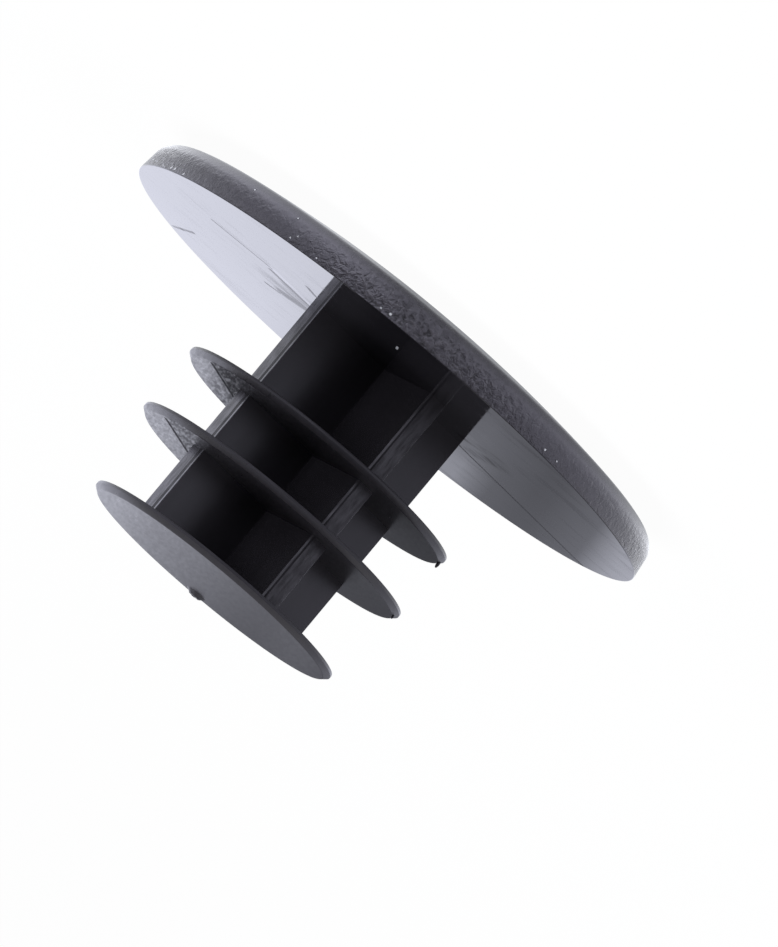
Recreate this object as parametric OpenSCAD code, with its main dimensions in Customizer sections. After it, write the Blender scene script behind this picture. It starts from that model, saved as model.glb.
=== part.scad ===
// Handlebar end cap: one moulded piece that closes the end of a handlebar tube.
// A wide crowned head, a stem of four crossed ribs, two gripping fins and a smaller leading fin.
// Millimetres. The cap stands on its head: z = 0 is the outer face and the stem points up.

/* [Head] */
// Diameter of the head across the edge of its underside
head_diameter = 40; // [36:0.5:44]
// Height of the head from its outer face to its underside
head_height = 3.6; // [3.2:0.05:5]
// Diameter of the flat in the middle of the outer face
flat_diameter = 22; // [16:0.5:28]
// Radius of the crown that falls from the flat to the rim
crown_radius = 95; // [70:1:160]
// Radius of the round between the crown and the rim
edge_round = 1; // [0.4:0.1:1.4]
// Lean of the rim towards the outer face, in degrees
rim_lean = 6.8; // [2:0.2:10]

/* [Stem] */
// Length of the stem from the head's underside to its end face
stem_length = 17.25; // [15:0.25:22]
// Length of each crossed rib pair from end to end
rib_span = 13.9; // [11:0.1:16]
// Thickness of each rib
rib_thickness = 1.43; // [1:0.01:2.2]
// How far the ribs run into the head
rib_sink = 1; // [0.5:0.1:1.5]

/* [Fins] */
// Diameter of the two gripping fins at their wide edge
fin_diameter = 20.6; // [18.5:0.1:23]
// Diameter of the leading fin at its wide edge
lead_diameter = 18.9; // [17.5:0.1:20]
// Thickness of every fin
fin_thickness = 0.5; // [0.4:0.05:0.9]
// Height of the straight land on a fin's edge
fin_land = 0.2; // [0.1:0.05:0.35]
// How much the radius of a fin narrows from its land to its leading edge
fin_lead_in = 0.36; // [0.1:0.02:0.6]
// Gap between the underside of the head and the first fin
head_to_fin = 6.55; // [5:0.05:8]
// Step from the first fin to the second
fin_step = 4.5; // [3:0.05:6]

/* [Gate mark] */
// Diameter, at its root, of the small nub left on the end face by the mould's gate
gate_diameter = 2.1; // [1:0.1:2.6]
// Diameter of the nub at its tip
gate_tip = 0.8; // [0.4:0.1:1]
// Height of the nub above the end face
gate_height = 0.25; // [0.1:0.05:0.4]
// Distance of the nub from the edge of the end face
gate_inset = 1.2; // [1:0.1:4]
// Place of the nub around the axis, in degrees from the first rib
gate_angle = 118; // [0:1:359]

/* [Hidden] */
$fn = 96;
head_radius = head_diameter / 2;
flat_radius = flat_diameter / 2;
crown_centre = sqrt(pow(crown_radius, 2) - pow(flat_radius, 2));
rim_foot = head_radius - head_height * tan(rim_lean);
// Centre of the edge round: as far from the rim's line as from the crown
round_slope = tan(rim_lean);
round_start = head_radius - (head_height * sin(rim_lean) + edge_round) / cos(rim_lean);
round_reach = crown_radius - edge_round;
round_lead = crown_centre - round_start * round_slope;
round_square = 1 + pow(round_slope, 2);
round_rest = pow(round_start, 2) + pow(crown_centre, 2) - pow(round_reach, 2);
round_z = (round_lead - sqrt(pow(round_lead, 2) - round_square * round_rest)) / round_square;
round_r = round_start + round_slope * round_z;
// Points where the round meets the rim and the crown
meet_rim = [round_r + edge_round * cos(rim_lean), round_z - edge_round * sin(rim_lean)];
meet_crown = [
    round_r * crown_radius / round_reach,
    crown_centre + (round_z - crown_centre) * crown_radius / round_reach
];
first_fin_z = head_height + head_to_fin;
second_fin_z = first_fin_z + fin_step;
end_z = head_height + stem_length;
lead_fin_z = end_z - fin_thickness;
// The nub stands in from the end face's edge, with its root in the leading fin
gate_reach = lead_diameter / 2 - fin_lead_in - gate_inset;
gate_root = fin_thickness / 2;
// Room outside the section for the cut that makes way for the edge round
cut_room = 1;

// Half section of the head: drafted rim, crown and the round between them
module head_section() {
    difference() {
        intersection() {
            polygon([[0, 0], [rim_foot, 0], [head_radius, head_height], [0, head_height]]);
            translate([0, crown_centre])
                circle(r = crown_radius, $fn = 360);
        }
        polygon([
            meet_rim,
            meet_crown,
            [meet_crown[0], -cut_room],
            [head_radius + cut_room, -cut_room],
            [head_radius + cut_room, meet_rim[1]]
        ]);
    }
    translate([round_r, round_z])
        circle(r = edge_round);
}

// One pair of ribs across the axis, sunk a little into the head and ending in the leading fin
module rib_pair() {
    translate([-rib_span / 2, -rib_thickness / 2, head_height - rib_sink])
        cube([rib_span, rib_thickness, rib_sink + stem_length - fin_thickness / 2]);
}

// A fin with a straight land, then an edge that narrows towards the end that enters the tube
module fin(level, diameter) {
    translate([0, 0, level])
        cylinder(h = fin_land, d = diameter);
    translate([0, 0, level + fin_land])
        cylinder(h = fin_thickness - fin_land, r1 = diameter / 2, r2 = diameter / 2 - fin_lead_in);
}

// The low nub on the end face, near the edge of the leading fin
module gate_nub() {
    rotate([0, 0, gate_angle])
        translate([gate_reach, 0, end_z - gate_root])
            cylinder(h = gate_root + gate_height, d1 = gate_diameter, d2 = gate_tip);
}

module end_cap() {
    color([0.06, 0.06, 0.07])
        union() {
            rotate_extrude($fn = 180)
                head_section();
            rib_pair();
            rotate([0, 0, 90])
                rib_pair();
            fin(first_fin_z, fin_diameter);
            fin(second_fin_z, fin_diameter);
            fin(lead_fin_z, lead_diameter);
            gate_nub();
        }
}

end_cap();
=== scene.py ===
import math
import random
import bpy
import bmesh
from mathutils import Matrix, Vector


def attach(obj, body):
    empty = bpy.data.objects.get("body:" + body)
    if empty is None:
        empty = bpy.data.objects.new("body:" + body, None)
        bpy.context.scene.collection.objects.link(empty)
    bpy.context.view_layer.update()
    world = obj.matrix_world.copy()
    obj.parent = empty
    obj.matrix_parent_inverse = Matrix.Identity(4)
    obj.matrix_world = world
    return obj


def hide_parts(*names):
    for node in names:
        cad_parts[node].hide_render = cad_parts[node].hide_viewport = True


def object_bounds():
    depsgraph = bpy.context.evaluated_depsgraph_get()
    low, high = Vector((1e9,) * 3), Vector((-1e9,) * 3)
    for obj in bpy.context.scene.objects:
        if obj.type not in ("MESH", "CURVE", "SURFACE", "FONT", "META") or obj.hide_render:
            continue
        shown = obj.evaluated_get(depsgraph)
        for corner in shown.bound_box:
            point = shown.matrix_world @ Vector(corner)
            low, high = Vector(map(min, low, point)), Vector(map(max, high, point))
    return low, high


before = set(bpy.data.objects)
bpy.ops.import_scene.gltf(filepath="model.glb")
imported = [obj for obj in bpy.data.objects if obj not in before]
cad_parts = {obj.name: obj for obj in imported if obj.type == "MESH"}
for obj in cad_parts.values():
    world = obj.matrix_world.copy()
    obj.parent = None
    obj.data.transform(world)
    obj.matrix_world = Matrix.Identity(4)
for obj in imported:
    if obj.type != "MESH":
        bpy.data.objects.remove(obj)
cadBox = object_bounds()
mm = 0.001
random.seed(7)

# sizes shared by the pieces, the same as the solid's
cap = {
    "headRadius": 20 * mm, "headHeight": 3.6 * mm, "flatRadius": 11 * mm, "crownRadius": 95 * mm,
    "rimLean": math.radians(6.8), "stemLength": 17.25 * mm,
}
cap["endHeight"] = cap["headHeight"] + cap["stemLength"]

around = math.radians(30.4)  # turn of the ribs to the camera
up = Vector((0, 0, 1))
side = Vector((math.cos(around), math.sin(around), 0))  # the photograph's left
back = Vector((-math.sin(around), math.cos(around), 0))


def spinProfile(points, steps, weld=1e-6):  # turned shape from a half section, from axis to axis
    bm = bmesh.new()
    verts = [bm.verts.new((r, 0, z)) for r, z in points]
    edges = [bm.edges.new(pair) for pair in zip(verts, verts[1:])]
    bmesh.ops.spin(
        bm, geom=verts + edges, cent=(0, 0, 0), axis=(0, 0, 1), dvec=(0, 0, 0),
        angle=math.tau, steps=steps, use_merge=True,
    )
    bmesh.ops.remove_doubles(bm, verts=bm.verts, dist=weld)
    bmesh.ops.recalc_face_normals(bm, faces=bm.faces)
    return bm


def ringEdges(bm, radius, height, slack=0.02 * mm):
    def onRing(v):
        return abs(math.hypot(v.co.x, v.co.y) - radius) < slack and abs(v.co.z - height) < slack
    return [e for e in bm.edges if all(onRing(v) for v in e.verts)]


def roundEdges(bm, edges, width, segments):
    bmesh.ops.bevel(
        bm, geom=edges, offset=width, offset_type="OFFSET", affect="EDGES",
        segments=segments, profile=0.5, material=-1, clamp_overlap=True,
    )


def turnShape(bm, angle):
    bmesh.ops.rotate(bm, verts=bm.verts, cent=(0, 0, 0), matrix=Matrix.Rotation(angle, 3, "Z"))


def keepObject(bm, name):
    mesh = bpy.data.meshes.new(name)
    bm.to_mesh(mesh)
    bm.free()
    piece = bpy.data.objects.new(name, mesh)
    bpy.context.scene.collection.objects.link(piece)
    return piece


# head: crowned outer face, leaning rim, flat underside
headSet = {
    "steps": 240, "crownSteps": 7, "settleSteps": 20, "flatRing": 0.5, "undersideRing": 0.7,
    "cornerWidth": 0.72 * mm, "cornerSegments": 6, "lipWidth": 0.05 * mm, "lipSegments": 2,
}


def crownHeight(radius):
    centre = math.sqrt(cap["crownRadius"] ** 2 - cap["flatRadius"] ** 2)
    return centre - math.sqrt(cap["crownRadius"] ** 2 - radius ** 2)


def makeHead():
    corner = cap["headRadius"]
    for _ in range(headSet["settleSteps"]):  # settles where the crown meets the leaning rim
        corner = cap["headRadius"] - (cap["headHeight"] - crownHeight(corner)) * math.tan(cap["rimLean"])
    section = [(0, 0), (cap["flatRadius"] * headSet["flatRing"], 0)]
    for k in range(headSet["crownSteps"] + 1):
        r = cap["flatRadius"] + (corner - cap["flatRadius"]) * k / headSet["crownSteps"]
        section.append((r, crownHeight(r)))
    top = cap["headHeight"]
    section += [(cap["headRadius"], top), (cap["headRadius"] * headSet["undersideRing"], top), (0, top)]
    bm = spinProfile(section, headSet["steps"])
    cornerRing = ringEdges(bm, corner, crownHeight(corner))
    roundEdges(bm, cornerRing, headSet["cornerWidth"], headSet["cornerSegments"])
    roundEdges(bm, ringEdges(bm, cap["headRadius"], top), headSet["lipWidth"], headSet["lipSegments"])
    return keepObject(bm, "headBlank")


# stem: two crossed plates with eased upright edges
ribSet = {
    "span": 13.9 * mm, "thickness": 1.43 * mm, "sink": 1 * mm, "short": 0.25 * mm,
    "ease": 0.02 * mm, "easeSegments": 3,
}


def makeRib(turn):
    foot, top = cap["headHeight"] - ribSet["sink"], cap["endHeight"] - ribSet["short"]
    bm = bmesh.new()
    bmesh.ops.create_cube(bm, size=1.0)
    bmesh.ops.scale(bm, vec=(ribSet["span"], ribSet["thickness"], top - foot), verts=bm.verts)
    upright = [e for e in bm.edges if abs(e.verts[0].co.z - e.verts[1].co.z) > (top - foot) / 2]
    roundEdges(bm, upright, ribSet["ease"], ribSet["easeSegments"])
    bmesh.ops.translate(bm, vec=(0, 0, (top + foot) / 2), verts=bm.verts)
    turnShape(bm, turn)
    return keepObject(bm, "ribBlank")


# fins: thin discs, straight land then a narrowing edge
finSet = {
    "steps": 200, "thickness": 0.5 * mm, "land": 0.2 * mm, "leadIn": 0.36 * mm, "innerRing": 0.5,
    "ease": 0.05 * mm, "easeSegments": 2,
}
finPlaces = {  # lower face and radius
    "firstFin": (cap["headHeight"] + 6.55 * mm, 10.3 * mm),
    "secondFin": (cap["headHeight"] + 11.05 * mm, 10.3 * mm),
    "leadFin": (cap["endHeight"] - finSet["thickness"], 9.45 * mm),
}


def makeFin(height, radius):
    top = height + finSet["thickness"]
    inner = radius * finSet["innerRing"]
    section = [
        (0, height), (inner, height), (radius, height), (radius, height + finSet["land"]),
        (radius - finSet["leadIn"], top), (inner, top), (0, top),
    ]
    bm = spinProfile(section, finSet["steps"])
    corners = ringEdges(bm, radius, height) + ringEdges(bm, radius - finSet["leadIn"], top)
    roundEdges(bm, corners, finSet["ease"], finSet["easeSegments"])
    return keepObject(bm, "finBlank")


# gate mark: a low torn nub near the edge of the end face
gateSet = {
    "rootRadius": 1.05 * mm, "tipRadius": 0.4 * mm, "height": 0.25 * mm, "root": 0.25 * mm,
    "inset": 1.2 * mm, "turn": math.radians(118), "sides": 28,
    "ease": 0.06 * mm, "easeSegments": 3, "tear": 0.05 * mm,
}


def makeGate():
    tall = gateSet["height"] + gateSet["root"]
    bm = bmesh.new()
    bmesh.ops.create_cone(
        bm, cap_ends=True, segments=gateSet["sides"], depth=tall,
        radius1=gateSet["rootRadius"], radius2=gateSet["tipRadius"],
    )
    tip = [e for e in bm.edges if all(v.co.z > 0 for v in e.verts)]
    roundEdges(bm, tip, gateSet["ease"], gateSet["easeSegments"])
    for v in bm.verts:
        if v.co.z > 0:
            v.co.z -= random.uniform(0, gateSet["tear"])
    reach = finPlaces["leadFin"][1] - finSet["leadIn"] - gateSet["inset"]
    bmesh.ops.translate(bm, vec=(reach, 0, cap["endHeight"] - gateSet["root"] + tall / 2), verts=bm.verts)
    turnShape(bm, gateSet["turn"])
    return keepObject(bm, "gateBlank")


# flash: small tags of plastic left on the gripping fins' leading edges
flashSet = {
    "firstFin": {"turn": math.radians(209), "inset": 0.22 * mm, "size": (0.12 * mm, 0.11 * mm, 0.30 * mm)},
    "secondFin": {"turn": math.radians(215), "inset": 0.26 * mm, "size": (0.08 * mm, 0.08 * mm, 0.16 * mm)},
}


def makeFlash(finName):
    tag = flashSet[finName]
    height, radius = finPlaces[finName]
    bm = bmesh.new()
    bmesh.ops.create_icosphere(bm, subdivisions=2, radius=1.0)
    bmesh.ops.scale(bm, vec=tag["size"], verts=bm.verts)
    bmesh.ops.translate(bm, vec=(radius - tag["inset"], 0, height + finSet["thickness"]), verts=bm.verts)
    turnShape(bm, tag["turn"])
    return keepObject(bm, "flashBlank")


# skin: the blanks joined, with shading split at edges that bend more than these
skinSet = {"weld": 1e-7, "flatness": 0.99995, "flatBend": math.radians(2), "bend": math.radians(28)}


def joinSolids(base, others):  # one closed skin from the overlapping blanks
    for other in others:
        union = base.modifiers.new("join", "BOOLEAN")
        union.operation = "UNION"
        union.solver = "EXACT"
        union.object = other
    bpy.context.view_layer.update()
    depsgraph = bpy.context.evaluated_depsgraph_get()
    mesh = bpy.data.meshes.new_from_object(base.evaluated_get(depsgraph))
    for blank in [base] + others:
        bpy.data.objects.remove(blank, do_unlink=True)
    bm = bmesh.new()
    bm.from_mesh(mesh)
    bmesh.ops.remove_doubles(bm, verts=bm.verts, dist=skinSet["weld"])
    for face in bm.faces:
        face.smooth = True
    for edge in bm.edges:  # flat faces keep their own shading beside the eased edges
        flat = any(max(abs(n) for n in face.normal) > skinSet["flatness"] for face in edge.link_faces)
        edge.smooth = edge.calc_face_angle(0) < skinSet["flatBend" if flat else "bend"]
    bm.to_mesh(mesh)
    bm.free()
    mesh.name = "endCapSkin"
    piece = bpy.data.objects.new("endCapSkin", mesh)
    bpy.context.scene.collection.objects.link(piece)
    return piece


blanks = [makeRib(0), makeRib(math.pi / 2)]
blanks += [makeFin(*place) for place in finPlaces.values()]
blanks += [makeGate()] + [makeFlash(name) for name in flashSet]
endCap = joinSolids(makeHead(), blanks)
print("end cap skin:", len(endCap.data.polygons), "faces")


# small helpers for the materials
def feed(tree, value, socket):  # links another node's output, or sets a plain number
    if isinstance(value, bpy.types.NodeSocket):
        tree.links.new(value, socket)
    else:
        socket.default_value = value


def mathNode(tree, operation, first, second=None, clamp=False):
    node = tree.nodes.new("ShaderNodeMath")
    node.operation, node.use_clamp = operation, clamp
    feed(tree, first, node.inputs[0])
    if second is not None:
        feed(tree, second, node.inputs[1])
    return node.outputs[0]


def vectorNode(tree, operation, first, second=None, scale=None):
    node = tree.nodes.new("ShaderNodeVectorMath")
    node.operation = operation
    feed(tree, first, node.inputs[0])
    if second is not None:
        feed(tree, second, node.inputs[1])
    if scale is not None:
        feed(tree, scale, node.inputs["Scale"])
    return node.outputs["Value" if operation in ("DOT_PRODUCT", "DISTANCE", "LENGTH") else "Vector"]


def rangeNode(tree, value, low, high, start, end):
    node = tree.nodes.new("ShaderNodeMapRange")
    for name, number in (("From Min", low), ("From Max", high), ("To Min", start), ("To Max", end)):
        node.inputs[name].default_value = number
    feed(tree, value, node.inputs["Value"])
    return node.outputs["Result"]


def splitNode(tree, vector):
    node = tree.nodes.new("ShaderNodeSeparateXYZ")
    feed(tree, vector, node.inputs[0])
    return node.outputs["X"], node.outputs["Y"], node.outputs["Z"]


def noiseNode(tree, vector, scale, detail, twist=0):
    node = tree.nodes.new("ShaderNodeTexNoise")
    node.inputs["Scale"].default_value = scale
    node.inputs["Detail"].default_value = detail
    node.inputs["Distortion"].default_value = twist
    feed(tree, vector, node.inputs["Vector"])
    return node.outputs["Fac"]


def blendNode(tree, factor, first, second):  # colour between two colours
    node = tree.nodes.new("ShaderNodeMix")
    node.data_type = "RGBA"
    feed(tree, factor, node.inputs["Factor"])
    for socket, tone in ((node.inputs[6], first), (node.inputs[7], second)):
        feed(tree, tone + (1,) if isinstance(tone, tuple) else tone, socket)
    return node.outputs[2]


def stretchedNoise(tree, vector, turn, scale, detail):  # noise drawn out along one direction
    node = tree.nodes.new("ShaderNodeMapping")
    node.vector_type = "TEXTURE"
    node.inputs["Rotation"].default_value = (0, 0, turn)
    node.inputs["Scale"].default_value = scale
    feed(tree, vector, node.inputs["Vector"])
    return noiseNode(tree, node.outputs[0], 1.0, detail)


def bumpNode(tree, shader, height, strength, distance):
    node = tree.nodes.new("ShaderNodeBump")
    node.inputs["Strength"].default_value = strength
    node.inputs["Distance"].default_value = distance
    feed(tree, height, node.inputs["Height"])
    feed(tree, node.outputs["Normal"], shader.inputs["Normal"])


def startMaterial(name, specular, tint):
    material = bpy.data.materials.new(name)
    material.use_nodes = True
    tree = material.node_tree
    shader = tree.nodes["Principled BSDF"]
    shader.inputs["Specular IOR Level"].default_value = specular
    shader.inputs["Specular Tint"].default_value = tint + (1,)
    coords = tree.nodes.new("ShaderNodeTexCoord").outputs["Object"]
    return material, tree, shader, coords


def strokeMask(tree, flat, start, end, width, core=0.4):  # 1 along a mark between two plan points, in mm
    start, end, width = Vector((*start, 0)) * mm, Vector((*end, 0)) * mm, width * mm
    run = end - start
    offset = vectorNode(tree, "SUBTRACT", flat, start)
    share = vectorNode(tree, "DOT_PRODUCT", offset, run)
    share = mathNode(tree, "MULTIPLY", share, 1 / run.length_squared, True)
    gap = vectorNode(tree, "DISTANCE", offset, vectorNode(tree, "SCALE", run, scale=share))
    return rangeNode(tree, gap, width * core, width, 1, 0)


def spotMask(tree, coords, spot, radius, core=0.6):
    gap = vectorNode(tree, "DISTANCE", coords, spot)
    return rangeNode(tree, gap, radius * core, radius, 1, 0)


def joinMasks(tree, masks):
    joined = masks[0]
    for mask in masks[1:]:
        joined = mathNode(tree, "MAXIMUM", joined, mask)
    return joined


def flatten(tree, coords):  # plan coordinates
    return vectorNode(tree, "MULTIPLY", coords, Vector((1, 1, 0)))


coolTint = (0.89, 0.865, 1.0)  # the plastic's gloss is a little blue
midNoise = (0.3, 0.7)  # part of a noise's range that is used, wide and narrow
midNoiseNarrow = (0.35, 0.65)

# rim and outer face: leather-like grain with a few specks of dust, with painted shade in the grain's
# hollows and painted highlights on its ridges
grainSet = {
    "grain": 2700, "twist": 0.7, "fine": 9000, "fineShare": 0.1, "depth": 0.26 * mm,
    "fade": (1.3 * mm, 2.5 * mm, 0.1, 1), "hollow": (0.38, 0.50), "ridge": (0.54, 0.68),
    # low and high are the grain's tones, the low one laid in the hollows as painted shade; the ridge tone
    # is a painted highlight
    "low": (0.0100, 0.0092, 0.0112), "high": (0.0290, 0.0265, 0.0335), "paintedRidgeTone": (0.052, 0.048, 0.058),
    "rough": (0.20, 0.28), "gloss": (0.40, 0.60),
    "sideFade": (2.5 * mm, 10 * mm, 1, 0.16), "tips": (16 * mm, 19 * mm, 0, 0.4), "dust": (0.8, 0.81, 0.85),
    "specks": [  # degrees from the front towards the left, height and radius in mm
        (80, 3.15, 0.17), (71.2, 3.39, 0.11), (67, 3.35, 0.17), (65.4, 3.35, 0.16), (61.3, 3.41, 0.13),
        (42.8, 2.0, 0.10), (31.2, 1.97, 0.09), (29.6, 3.27, 0.08), (28.6, 2.93, 0.07), (23, 3.34, 0.07),
        (8, 3.34, 0.09), (6, 3.27, 0.12), (-32, 3.18, 0.10), (-35.5, 3.18, 0.08),
    ],
    "frontTurn": math.radians(-59.6),
}


def rimPoint(degrees, height):
    turn = grainSet["frontTurn"] + math.radians(degrees)
    radius = cap["headRadius"] - (cap["headHeight"] - height * mm) * math.tan(cap["rimLean"])
    return Vector((radius * math.cos(turn), radius * math.sin(turn), height * mm))


def makeGrained():
    material, tree, shader, coords = startMaterial("grainedPlastic", grainSet["gloss"][1], coolTint)
    rise = noiseNode(tree, coords, grainSet["grain"], 2, grainSet["twist"])
    fine = noiseNode(tree, coords, grainSet["fine"], 2)
    # the grain is fainter on the rounded edge and the outer face, and towards both sides of the rim
    share = rangeNode(tree, splitNode(tree, coords)[2], *grainSet["fade"])
    reach = mathNode(tree, "ABSOLUTE", vectorNode(tree, "DOT_PRODUCT", coords, side))
    kept = joinMasks(tree, [rangeNode(tree, reach, *grainSet[name]) for name in ("sideFade", "tips")])
    share = mathNode(tree, "MULTIPLY", share, kept)
    # painted shade: the hollows are darker and duller in gloss; painted highlight: the ridges are lighter
    paintedHollowShade = mathNode(tree, "MULTIPLY", share, rangeNode(tree, rise, *grainSet["hollow"], 1, 0))
    paintedRidgeLight = mathNode(tree, "MULTIPLY", share, rangeNode(tree, rise, *grainSet["ridge"], 0, 1))
    lit = mathNode(tree, "SUBTRACT", 1, paintedHollowShade)
    feed(tree, rangeNode(tree, lit, 0, 1, *grainSet["gloss"]), shader.inputs["Specular IOR Level"])
    height = mathNode(tree, "ADD", rise, mathNode(tree, "MULTIPLY", fine, grainSet["fineShare"]))
    height = mathNode(tree, "MULTIPLY", height, share)
    specks = [spotMask(tree, coords, rimPoint(d, z), r * mm) for d, z, r in grainSet["specks"]]
    dust = joinMasks(tree, specks)
    bumpNode(tree, shader, mathNode(tree, "ADD", height, dust), 1.0, grainSet["depth"])
    # base colour with painted shade in the hollows and a painted highlight on the ridges
    tone = blendNode(tree, lit, grainSet["low"], grainSet["high"])
    tone = blendNode(tree, paintedRidgeLight, tone, grainSet["paintedRidgeTone"])
    feed(tree, blendNode(tree, dust, tone, grainSet["dust"]), shader.inputs["Base Color"])
    feed(tree, rangeNode(tree, fine, *midNoise, *grainSet["rough"]), shader.inputs["Roughness"])
    return material


# underside: glossy moulded face with flow streaks, witness lines, smears, a scratch and a speck of dust
smoothSet = {
    "rough": (0.07, 0.19), "specular": 0.3, "gloss": (0.26, 0.34),
    "low": (0.0105, 0.0098, 0.0120), "high": (0.0168, 0.0157, 0.0192), "dust": (0.42, 0.43, 0.46),
    "flowTurn": math.radians(30), "flow": (4.5 * mm, 1.5 * mm, 1.5 * mm), "flowRough": (0.5, 0.75),
    "strand": (2.4 * mm, 1.1 * mm, 0.5 * mm), "hazeStrand": (0.48, 0.7), "haze": (6 * mm, 13 * mm, 0.16, 0),
    "smudgeSpot": (5.8 * mm, 3.8 * mm, 3.6 * mm), "smudgeReach": 4.4 * mm, "smudge": (0.36, 0.58, 0, 0.5),
    "speck": 4000, "relief": 0.04, "reliefDepth": 0.02 * mm,
    "markRough": 0.42, "lineRough": 0.6, "lineDepth": 2, "ridgeGloss": 1.0,
    "smearStrand": (0.35, 0.62, 0.25, 1), "smearGloss": 0.08,
    # marks: two plan points and a width in mm, a shade's strength last
    "lines": [
        ((14.0, 4.6), (10.1, 1.9), 0.22), ((9.6, 2.5), (6.2, 2.2), 0.45), ((9.9, -2.8), (8.9, -2.4), 0.35),
        ((6.4, 7.6), (5.8, 6.7), 0.28), ((-6.9, 0), (-19.8, 0), 0.3),
    ],
    "shades": [((7.9, 2.6), (6.0, 2.5), 1.1, 0.4), ((6.0, 5.8), (5.2, 3.9), 1.1, 0.55)],
    "smears": [((-5.3, -3.3), (-6.2, -6.6), 1.1), ((-7.6, -1.2), (-7.35, -5.7), 1.1)],
    # ridge: a painted highlight in the gloss; scratch and hair are real marks
    "ridge": ((10.1, 1.73), (6.5, 1.39), 0.5), "scratch": ((8.5, 17.6), (9.3, 13.6), 0.2),
    "hair": ((6.95, -10.9), (6.4, -10.0), 0.12),
}


def makeSmooth():
    material, tree, shader, coords = startMaterial("smoothPlastic", smoothSet["specular"], coolTint)
    flat = flatten(tree, coords)
    flow = stretchedNoise(tree, coords, smoothSet["flowTurn"], smoothSet["flow"], 5)
    strands = stretchedNoise(tree, coords, smoothSet["flowTurn"], smoothSet["strand"], 2)
    speck = noiseNode(tree, coords, smoothSet["speck"], 3)
    lines = joinMasks(tree, [strokeMask(tree, flat, *mark) for mark in smoothSet["lines"]])
    smears = joinMasks(tree, [strokeMask(tree, flat, *mark) for mark in smoothSet["smears"]])
    ridge, scratch, dust = [
        strokeMask(tree, flat, *smoothSet[name]) for name in ("ridge", "scratch", "hair")
    ]
    shades = [
        mathNode(tree, "MULTIPLY", strokeMask(tree, flat, *mark), strength)
        for *mark, strength in smoothSet["shades"]
    ]
    # smudge and haze beside the stem
    gap = vectorNode(tree, "DISTANCE", coords, Vector(smoothSet["smudgeSpot"]))
    near = rangeNode(tree, gap, 0, smoothSet["smudgeReach"], 1, 0)
    smudge = mathNode(tree, "MULTIPLY", near, rangeNode(tree, flow, *smoothSet["smudge"]))
    haze = rangeNode(tree, strands, *smoothSet["hazeStrand"], 0, 1)
    haze = mathNode(tree, "MULTIPLY", haze, rangeNode(tree, gap, *smoothSet["haze"]))
    # gloss: a painted highlight along the ridge, weaker in the smears
    gloss = rangeNode(tree, flow, *midNoise, *smoothSet["gloss"])
    gloss = mathNode(tree, "MAXIMUM", gloss, mathNode(tree, "MULTIPLY", ridge, smoothSet["ridgeGloss"]))
    smears = mathNode(tree, "MULTIPLY", smears, rangeNode(tree, strands, *smoothSet["smearStrand"]))
    gloss = mathNode(tree, "MULTIPLY", gloss, rangeNode(tree, smears, 0, 1, 1, smoothSet["smearGloss"]))
    feed(tree, gloss, shader.inputs["Specular IOR Level"])
    tone = blendNode(tree, flow, smoothSet["low"], smoothSet["high"])
    feed(tree, blendNode(tree, dust, tone, smoothSet["dust"]), shader.inputs["Base Color"])
    # every mark is rougher than the face
    faint = mathNode(tree, "MULTIPLY", lines, smoothSet["lineRough"])
    marks = joinMasks(tree, [faint, mathNode(tree, "MULTIPLY", scratch, flow), smudge, *shades, dust, haze])
    rough = rangeNode(tree, flow, *smoothSet["flowRough"], *smoothSet["rough"])
    rough = mathNode(tree, "ADD", rough, mathNode(tree, "MULTIPLY", marks, smoothSet["markRough"]))
    feed(tree, rough, shader.inputs["Roughness"])
    height = mathNode(tree, "SUBTRACT", speck, mathNode(tree, "MULTIPLY", lines, smoothSet["lineDepth"]))
    bumpNode(tree, shader, height, smoothSet["relief"], smoothSet["reliefDepth"])
    return material


# stem ribs: satin, faintly uneven along the axis, with painted light on their ends: gloss set per rib, and
# a painted dark line and a painted highlight along one edge of each end
ribFinish = {
    "rough": (0.23, 0.27), "draw": (0.8 * mm, 0.8 * mm, 6 * mm), "gloss": 0.3,
    "low": (0.0160, 0.0147, 0.0174), "high": (0.0206, 0.0187, 0.0224),
    # shine is painted light, the X rib's ends shinier than the Y rib's; the line tone is painted shade and
    # the highlight tone a painted highlight
    "endDepth": 0.03 * mm, "shine": {"X": 1.55, "Y": 0.85},
    "mottle": (0.22 * mm, 0.22 * mm, 0.9 * mm), "mottled": (0.7, 1.5),
    "line": {"X": 0.25 * mm, "Y": 0.42 * mm}, "lineEnd": 0.56 * mm, "lineTone": 0.2, "edgeHighlightTone": 1.5,
}


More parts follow.
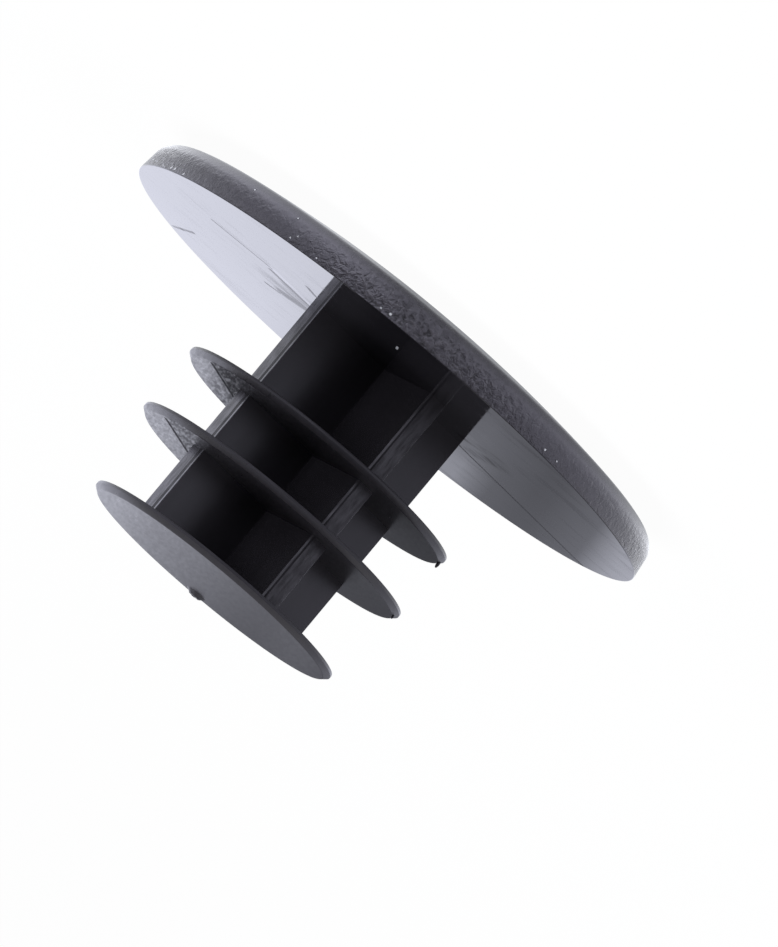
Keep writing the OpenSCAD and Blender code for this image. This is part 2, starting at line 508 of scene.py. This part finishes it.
def makeRibFinish():
    material, tree, shader, coords = startMaterial("ribPlastic", ribFinish["gloss"], coolTint)
    draw = stretchedNoise(tree, coords, 0, ribFinish["draw"], 3)
    feed(tree, rangeNode(tree, draw, *midNoise, *ribFinish["rough"]), shader.inputs["Roughness"])
    feed(tree, blendNode(tree, draw, ribFinish["low"], ribFinish["high"]), shader.inputs["Base Color"])
    placeX, placeY, _ = splitNode(tree, coords)
    alongX, alongY, _ = splitNode(tree, vectorNode(tree, "ABSOLUTE", coords))
    outer, offset = mathNode(tree, "MAXIMUM", alongX, alongY), mathNode(tree, "MINIMUM", alongX, alongY)
    ends = mathNode(tree, "GREATER_THAN", outer, ribSet["span"] / 2 - ribFinish["endDepth"])
    onX = mathNode(tree, "GREATER_THAN", alongX, alongY)
    # painted light: the gloss of the rib ends is set per rib, higher on the rib along X than on the rib
    # along Y
    shine, lineStart = [
        rangeNode(tree, onX, 0, 1, ribFinish[name]["Y"], ribFinish[name]["X"])
        for name in ("shine", "line")
    ]
    # a painted dark line and a painted highlight on one side of each end, where an eased edge would reflect
    handed = mathNode(tree, "LESS_THAN", mathNode(tree, "MULTIPLY", placeX, placeY), 0)
    lip = mathNode(tree, "GREATER_THAN", offset, ribFinish["lineEnd"])
    line = mathNode(tree, "MULTIPLY", mathNode(tree, "GREATER_THAN", offset, lineStart),
                    mathNode(tree, "LESS_THAN", offset, ribFinish["lineEnd"]))
    mottle = stretchedNoise(tree, coords, 0, ribFinish["mottle"], 3)
    level = rangeNode(tree, mottle, *midNoiseNarrow, *ribFinish["mottled"])
    level = mathNode(tree, "MULTIPLY", level, shine)
    for mask, change in ((line, ribFinish["lineTone"]), (lip, ribFinish["edgeHighlightTone"])):
        share = mathNode(tree, "MULTIPLY", mask, handed)
        level = mathNode(tree, "MULTIPLY", level, rangeNode(tree, share, 0, 1, 1, change))
    level = mathNode(tree, "ADD", 1, mathNode(tree, "MULTIPLY", mathNode(tree, "SUBTRACT", level, 1), ends))
    feed(tree, mathNode(tree, "MULTIPLY", level, ribFinish["gloss"]), shader.inputs["Specular IOR Level"])
    return material


# fins and end face: sparkled, duller than the underside, with a scored line on the gripping fins
finFinish = {
    "rough": (0.27, 0.33), "specular": 0.27,
    "low": (0.0126, 0.0117, 0.0138), "high": (0.0210, 0.0195, 0.0238),
    "turn": math.radians(30), "sparkle": (0.3 * mm, 1.6 * mm, 0.5 * mm),
    "relief": 0.08, "reliefDepth": 0.03 * mm,
    "spark": (0.2 * mm, 1.1 * mm, 0.4 * mm), "sparkRough": (-0.03, 0.05), "sparkRise": 0.6,
    "sparkFade": (1 * mm, 6 * mm, 0.2, 1), "endSpark": 0.3, "uneven": (0.5, 1.5),
    "score": ((9.6, 0.8), (3.4, 5.6), 0.22), "scoreRough": 0.4, "scoreDepth": 2,
    # duller on top, inside the score and towards the stem
    "dull": {"firstFin": (0.165, 0.175), "secondFin": (0.11, 0.02)}, "topSlack": 0.02 * mm,
    "patchStart": (0, 0.4 * mm), "patchEnd": (3.4 * mm, 4.2 * mm),
    "stemStart": (2 * mm, 5 * mm), "stemEnd": (6.5 * mm, 8.9 * mm),
}


def bandMask(tree, value, start, end):  # rises over the start, falls over the end
    rising, falling = rangeNode(tree, value, *start, 0, 1), rangeNode(tree, value, *end, 1, 0)
    return mathNode(tree, "MULTIPLY", rising, falling)


def makeFinFinish():
    material, tree, shader, coords = startMaterial("finPlastic", finFinish["specular"], coolTint)
    flat = flatten(tree, coords)
    height = splitNode(tree, coords)[2]
    along = vectorNode(tree, "DOT_PRODUCT", coords, side)
    gripping = mathNode(tree, "LESS_THAN", height, finPlaces["leadFin"][0])
    sparkle = stretchedNoise(tree, coords, finFinish["turn"], finFinish["sparkle"], 3)
    # coarser mottling, strongest on the left of the gripping fins
    spark = stretchedNoise(tree, coords, finFinish["turn"], finFinish["spark"], 2)
    mottled = rangeNode(tree, along, *finFinish["sparkFade"])
    mottled = mathNode(tree, "MULTIPLY", mottled, rangeNode(tree, gripping, 0, 1, finFinish["endSpark"], 1))
    spark = mathNode(tree, "MULTIPLY", mathNode(tree, "SUBTRACT", spark, 0.5), mottled)
    spark = mathNode(tree, "ADD", spark, 0.5)
    start, end, _ = finFinish["score"]
    score = mathNode(tree, "MULTIPLY", strokeMask(tree, flat, *finFinish["score"]), gripping)
    inward = Vector((start[1] - end[1], end[0] - start[0], 0)).normalized()
    depth = vectorNode(tree, "SUBTRACT", flat, Vector((*start, 0)) * mm)
    depth = vectorNode(tree, "DOT_PRODUCT", depth, inward)
    patch = bandMask(tree, depth, finFinish["patchStart"], finFinish["patchEnd"])
    nearStem = bandMask(tree, along, finFinish["stemStart"], finFinish["stemEnd"])
    uneven = rangeNode(tree, spark, *midNoiseNarrow, *finFinish["uneven"])
    rough = rangeNode(tree, sparkle, *midNoise, *finFinish["rough"])
    for name, (onPatch, onStem) in finFinish["dull"].items():
        gap = mathNode(tree, "SUBTRACT", height, finPlaces[name][0] + finSet["thickness"])
        onTop = mathNode(tree, "LESS_THAN", mathNode(tree, "ABSOLUTE", gap), finFinish["topSlack"])
        share = mathNode(tree, "ADD", mathNode(tree, "MULTIPLY", patch, onPatch),
                         mathNode(tree, "MULTIPLY", nearStem, onStem))
        share = mathNode(tree, "MULTIPLY", onTop, mathNode(tree, "MULTIPLY", share, uneven))
        rough = mathNode(tree, "ADD", rough, share)
    rough = mathNode(tree, "ADD", rough, rangeNode(tree, spark, *midNoiseNarrow, *finFinish["sparkRough"]))
    rough = mathNode(tree, "ADD", rough, mathNode(tree, "MULTIPLY", score, finFinish["scoreRough"]))
    feed(tree, rough, shader.inputs["Roughness"])
    feed(tree, blendNode(tree, sparkle, finFinish["low"], finFinish["high"]), shader.inputs["Base Color"])
    rise = mathNode(tree, "ADD", sparkle, mathNode(tree, "MULTIPLY", spark, finFinish["sparkRise"]))
    rise = mathNode(tree, "SUBTRACT", rise, mathNode(tree, "MULTIPLY", score, finFinish["scoreDepth"]))
    bumpNode(tree, shader, rise, finFinish["relief"], finFinish["reliefDepth"])
    return material


# finish by place: rim and crown, underside, ribs, fins and end face
placeSet = {"slack": 0.05 * mm, "level": 0.5, "ribClear": 0.2 * mm}


def finishIndex(face):
    height, reach = face.center.z - cap["headHeight"], face.center.xy.length
    if height < -placeSet["slack"]:
        return 0
    if height < placeSet["slack"]:
        return 1
    onFin = abs(face.normal.z) > placeSet["level"] or reach > ribSet["span"] / 2 + placeSet["ribClear"]
    return 3 if onFin else 2


endCap.data.materials.clear()
for material in (makeGrained(), makeSmooth(), makeRibFinish(), makeFinFinish()):
    endCap.data.materials.append(material)
for face in endCap.data.polygons:
    face.material_index = finishIndex(face)
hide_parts("end_cap")
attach(endCap, "root")
print("finishes:", [m.name for m in endCap.data.materials])

# camera: long lens, a little above the disc plane, rolled as in the photograph
view = {
    "above": math.radians(7.53), "roll": math.radians(39.85), "distance": 1.5, "farthest": 50,
    "pixelsPerMm": 16.05, "seatPixel": (386.06, 373.8), "imageSize": (778, 947), "sensor": 36,
}
toward = -back * math.cos(view["above"]) + up * math.sin(view["above"])
upward = toward.cross(side)
imageRight = -side * math.cos(view["roll"]) - upward * math.sin(view["roll"])
imageUp = side * math.sin(view["roll"]) - upward * math.cos(view["roll"])
offsetX = (view["imageSize"][0] / 2 - view["seatPixel"][0]) / view["pixelsPerMm"] * mm
offsetY = (view["imageSize"][1] / 2 - view["seatPixel"][1]) / view["pixelsPerMm"] * mm
aim = up * cap["headHeight"] + imageRight * offsetX - imageUp * offsetY
camera = bpy.data.objects.new("camera", bpy.data.cameras.new("camera"))
camera.data.sensor_fit = "VERTICAL"
camera.data.sensor_height = view["sensor"]
camera.data.lens = view["pixelsPerMm"] * view["sensor"] / view["imageSize"][1] * view["distance"] / mm
camera.data.clip_end = view["farthest"]
turned = Matrix((imageRight, imageUp, toward)).transposed().to_4x4()
camera.matrix_world = Matrix.Translation(aim + toward * view["distance"]) @ turned
bpy.context.scene.collection.objects.link(camera)
bpy.context.scene.camera = camera

# lamps: soft key in front on the right, a panel on the left, wide fill above
lampSet = {
    "tint": (0.93, 0.95, 1.0), "aim": 8 * mm,
    "lamps": {
        "keyLamp": (-side * 0.52 - back * 0.30 + up * 0.20, 0.35, 0.25, 1.2),
        "leftLamp": (side * 0.46 - back * 0.32 + up * 0.08, 0.30, 0.25, 1.2),
        "topLamp": (side * 0.1 + up * 0.7, 0.6, 0.6, 3.0),
    },
}

# stage: pale floor that stays white to the camera and keeps a soft shadow
stageSet = {
    "size": 4.0, "drop": 0.02 * mm, "glow": 0.965,
    "pale": (0.05, 0.05, 0.05), "bounce": (0.75, 0.75, 0.78),
    "worldWhite": 1.0, "worldFill": 0.10,
    # the floor as the gloss sees it: brightness along the side direction in mm, then a painted brighter
    # band round the rim and a painted shadow under it
    "gloss": [
        (-150, 1.9), (-60, 1.45), (-20, 1.3), (-8, 1.05), (2, 0.9),
        (9, 1.9), (16, 1.9), (24, 1.15), (50, 1.8), (80, 2.15),
    ],
    "paintedRimGlow": (21 * mm, 27 * mm, 1.85, 1.0), "paintedRimShadow": (18.8 * mm, 21.5 * mm, 0.35, 1.0),
}


def lightPathSwitch(tree):  # 1 for rays that see the background itself
    path = tree.nodes.new("ShaderNodeLightPath")
    seen = mathNode(tree, "ADD", path.outputs["Is Camera Ray"], path.outputs["Is Glossy Ray"])
    return mathNode(tree, "ADD", seen, path.outputs["Is Transmission Ray"], True)


def rampNode(tree, coords, rows, tint):  # brightness along the photograph's side direction
    right, left = rows[0][0] * mm, rows[-1][0] * mm
    ramp = tree.nodes.new("ShaderNodeValToRGB")
    while len(ramp.color_ramp.elements) < len(rows):
        ramp.color_ramp.elements.new(0.5)
    for element, (place, tone) in zip(ramp.color_ramp.elements, rows):
        element.position = (place * mm - right) / (left - right)
        element.color = tuple(tone * share for share in tint) + (1,)
    along = rangeNode(tree, vectorNode(tree, "DOT_PRODUCT", coords, side), right, left, 0, 1)
    feed(tree, along, ramp.inputs["Fac"])
    return ramp.outputs["Color"]


def diffuseNode(tree, tone):
    node = tree.nodes.new("ShaderNodeBsdfDiffuse")
    node.inputs["Color"].default_value = tone + (1,)
    return node.outputs[0]


def emptyMaterial(name):
    material = bpy.data.materials.new(name)
    material.use_nodes = True
    material.node_tree.nodes.clear()
    output = material.node_tree.nodes.new("ShaderNodeOutputMaterial")
    return material, material.node_tree, output.inputs["Surface"]


def makeFloor():
    bm = bmesh.new()
    bmesh.ops.create_grid(bm, x_segments=1, y_segments=1, size=stageSet["size"])
    bmesh.ops.translate(bm, vec=(0, 0, cadBox[0][2] - stageSet["drop"]), verts=bm.verts)
    floor = keepObject(bm, "floor")
    material, tree, surface = emptyMaterial("paleFloor")
    coords = tree.nodes.new("ShaderNodeTexCoord").outputs["Object"]
    direct = tree.nodes.new("ShaderNodeLightPath").outputs["Is Camera Ray"]
    gloss = rampNode(tree, coords, stageSet["gloss"], lampSet["tint"])
    reach = vectorNode(tree, "LENGTH", flatten(tree, coords))
    # painted light in the floor's gloss: a brighter band round the rim and a painted shadow under the rim
    for band in ("paintedRimGlow", "paintedRimShadow"):
        gloss = vectorNode(tree, "SCALE", gloss, scale=rangeNode(tree, reach, *stageSet[band]))
    glow = tree.nodes.new("ShaderNodeEmission")
    feed(tree, blendNode(tree, direct, gloss, (stageSet["glow"],) * 3), glow.inputs["Color"])
    seen = tree.nodes.new("ShaderNodeAddShader")
    feed(tree, glow.outputs[0], seen.inputs[0])
    feed(tree, diffuseNode(tree, stageSet["pale"]), seen.inputs[1])
    choose = tree.nodes.new("ShaderNodeMixShader")
    feed(tree, lightPathSwitch(tree), choose.inputs[0])
    feed(tree, diffuseNode(tree, stageSet["bounce"]), choose.inputs[1])
    feed(tree, seen.outputs[0], choose.inputs[2])
    feed(tree, choose.outputs[0], surface)
    floor.data.materials.append(material)


makeFloor()
world = bpy.data.worlds.new("studio")
bpy.context.scene.world = world
world.use_nodes = True
backdrop = world.node_tree.nodes["Background"]
backdrop.inputs["Color"].default_value = (1, 1, 1, 1)
seenShare = lightPathSwitch(world.node_tree)
fill = rangeNode(world.node_tree, seenShare, 0, 1, stageSet["worldFill"], stageSet["worldWhite"])
feed(world.node_tree, fill, backdrop.inputs["Strength"])


def addLamp(name, spot, width, height, power):
    lamp = bpy.data.lights.new(name, "AREA")
    lamp.shape = "RECTANGLE"
    lamp.size, lamp.size_y = width, height
    lamp.energy = power
    lamp.color = lampSet["tint"]
    holder = bpy.data.objects.new(name, lamp)
    holder.location = spot
    holder.visible_glossy = False
    holder.rotation_euler = (up * lampSet["aim"] - spot).to_track_quat("-Z", "Y").to_euler()
    bpy.context.scene.collection.objects.link(holder)


for name, (spot, width, height, power) in lampSet["lamps"].items():
    addLamp(name, spot, width, height, power)

# cards seen only in the gloss: a light one behind, brighter on the left, and a dark one in front
cardSet = {
    "away": 60 * mm, "low": 1 * mm, "high": 90 * mm, "strength": 1.6, "tint": (0.93, 0.95, 1.085),
    "levels": [(10.4 * mm, 11.8 * mm), (14 * mm, 17 * mm), (25 * mm, 29 * mm)],
    # place along the card in mm, brightness for the underside's far half, its near half, fins, end face
    "shine": [
        (-100, 1.1, 1.1, 0.8, 0.6), (-30, 0.9, 0.9, 0.6, 0.4), (-22, 0.66, 0.66, 0.4, 0.25),
        (-20, 0.55, 0.55, 0.3, 0.2), (-18.6, 0.46, 0.46, 0.2, 0.16), (-17, 0.2, 0.2, 0.09, 0.15),
        (-12.7, 0.13, 0.12, 0.045, 0.18),
        (-9.5, 0.17, 0.16, 0.025, 0.20), (-7, 0.42, 0.19, 0.035, 0.34), (-4, 0.3, 0.17, 0.07, 0.2),
        (-1, 0.3, 0.17, 0.10, 0.32), (2.2, 0.5, 0.4, 0.4, 0.45), (5.4, 0.88, 0.86, 0.72, 0.50),
        (9, 0.96, 0.91, 0.86, 1.02), (22, 1.04, 1.0, 0.88, 1.1), (60, 1.4, 1.4, 1.4, 1.4),
        (200, 1.4, 1.4, 1.4, 1.4),
    ],
    "frontAway": 180 * mm, "frontReach": (-460 * mm, 260 * mm), "frontHigh": 110 * mm,
    "frontFade": (35 * mm, 95 * mm), "frontTone": (0.2, 0.85),
}


def placeCard(name, spread, rise, away):
    bm = bmesh.new()
    bmesh.ops.create_grid(bm, x_segments=1, y_segments=1, size=0.5)
    bmesh.ops.scale(bm, vec=(spread[1] - spread[0], rise[1] - rise[0], 1), verts=bm.verts)
    middle = side * (spread[0] + spread[1]) / 2 + back * away + up * (rise[0] + rise[1]) / 2
    turn = Matrix((side, up, -back)).transposed().to_4x4()
    bmesh.ops.transform(bm, matrix=Matrix.Translation(middle) @ turn, verts=bm.verts)
    card = keepObject(bm, name)
    material, tree, surface = emptyMaterial(name)
    shine = tree.nodes.new("ShaderNodeEmission")
    feed(tree, shine.outputs[0], surface)
    card.data.materials.append(material)
    card.visible_camera = card.visible_diffuse = False
    card.visible_shadow = card.visible_transmission = False
    return tree, shine


def makeCards():
    rows = cardSet["shine"]
    spread = (rows[0][0] * mm, rows[-1][0] * mm)
    tree, shine = placeCard("glossCard", spread, (cardSet["low"], cardSet["high"]), cardSet["away"])
    coords = tree.nodes.new("ShaderNodeTexCoord").outputs["Object"]
    height = vectorNode(tree, "DOT_PRODUCT", coords, up)
    tone = rampNode(tree, coords, [(row[0], row[1]) for row in rows], cardSet["tint"])
    for level, (low, high) in enumerate(cardSet["levels"], start=2):
        upper = rampNode(tree, coords, [(row[0], row[level]) for row in rows], cardSet["tint"])
        tone = blendNode(tree, rangeNode(tree, height, low, high, 0, 1), tone, upper)
    feed(tree, tone, shine.inputs["Color"])
    shine.inputs["Strength"].default_value = cardSet["strength"]
    rise = (0, cardSet["frontHigh"])
    tree, shine = placeCard("darkCard", cardSet["frontReach"], rise, -cardSet["frontAway"])
    coords = tree.nodes.new("ShaderNodeTexCoord").outputs["Object"]
    height = vectorNode(tree, "DOT_PRODUCT", coords, up)
    fade = rangeNode(tree, height, *cardSet["frontFade"], *cardSet["frontTone"])
    feed(tree, fade, shine.inputs["Strength"])


makeCards()
print("stage:", list(lampSet["lamps"]), "and two gloss cards")

bpy.context.scene.view_settings.view_transform = "Standard"
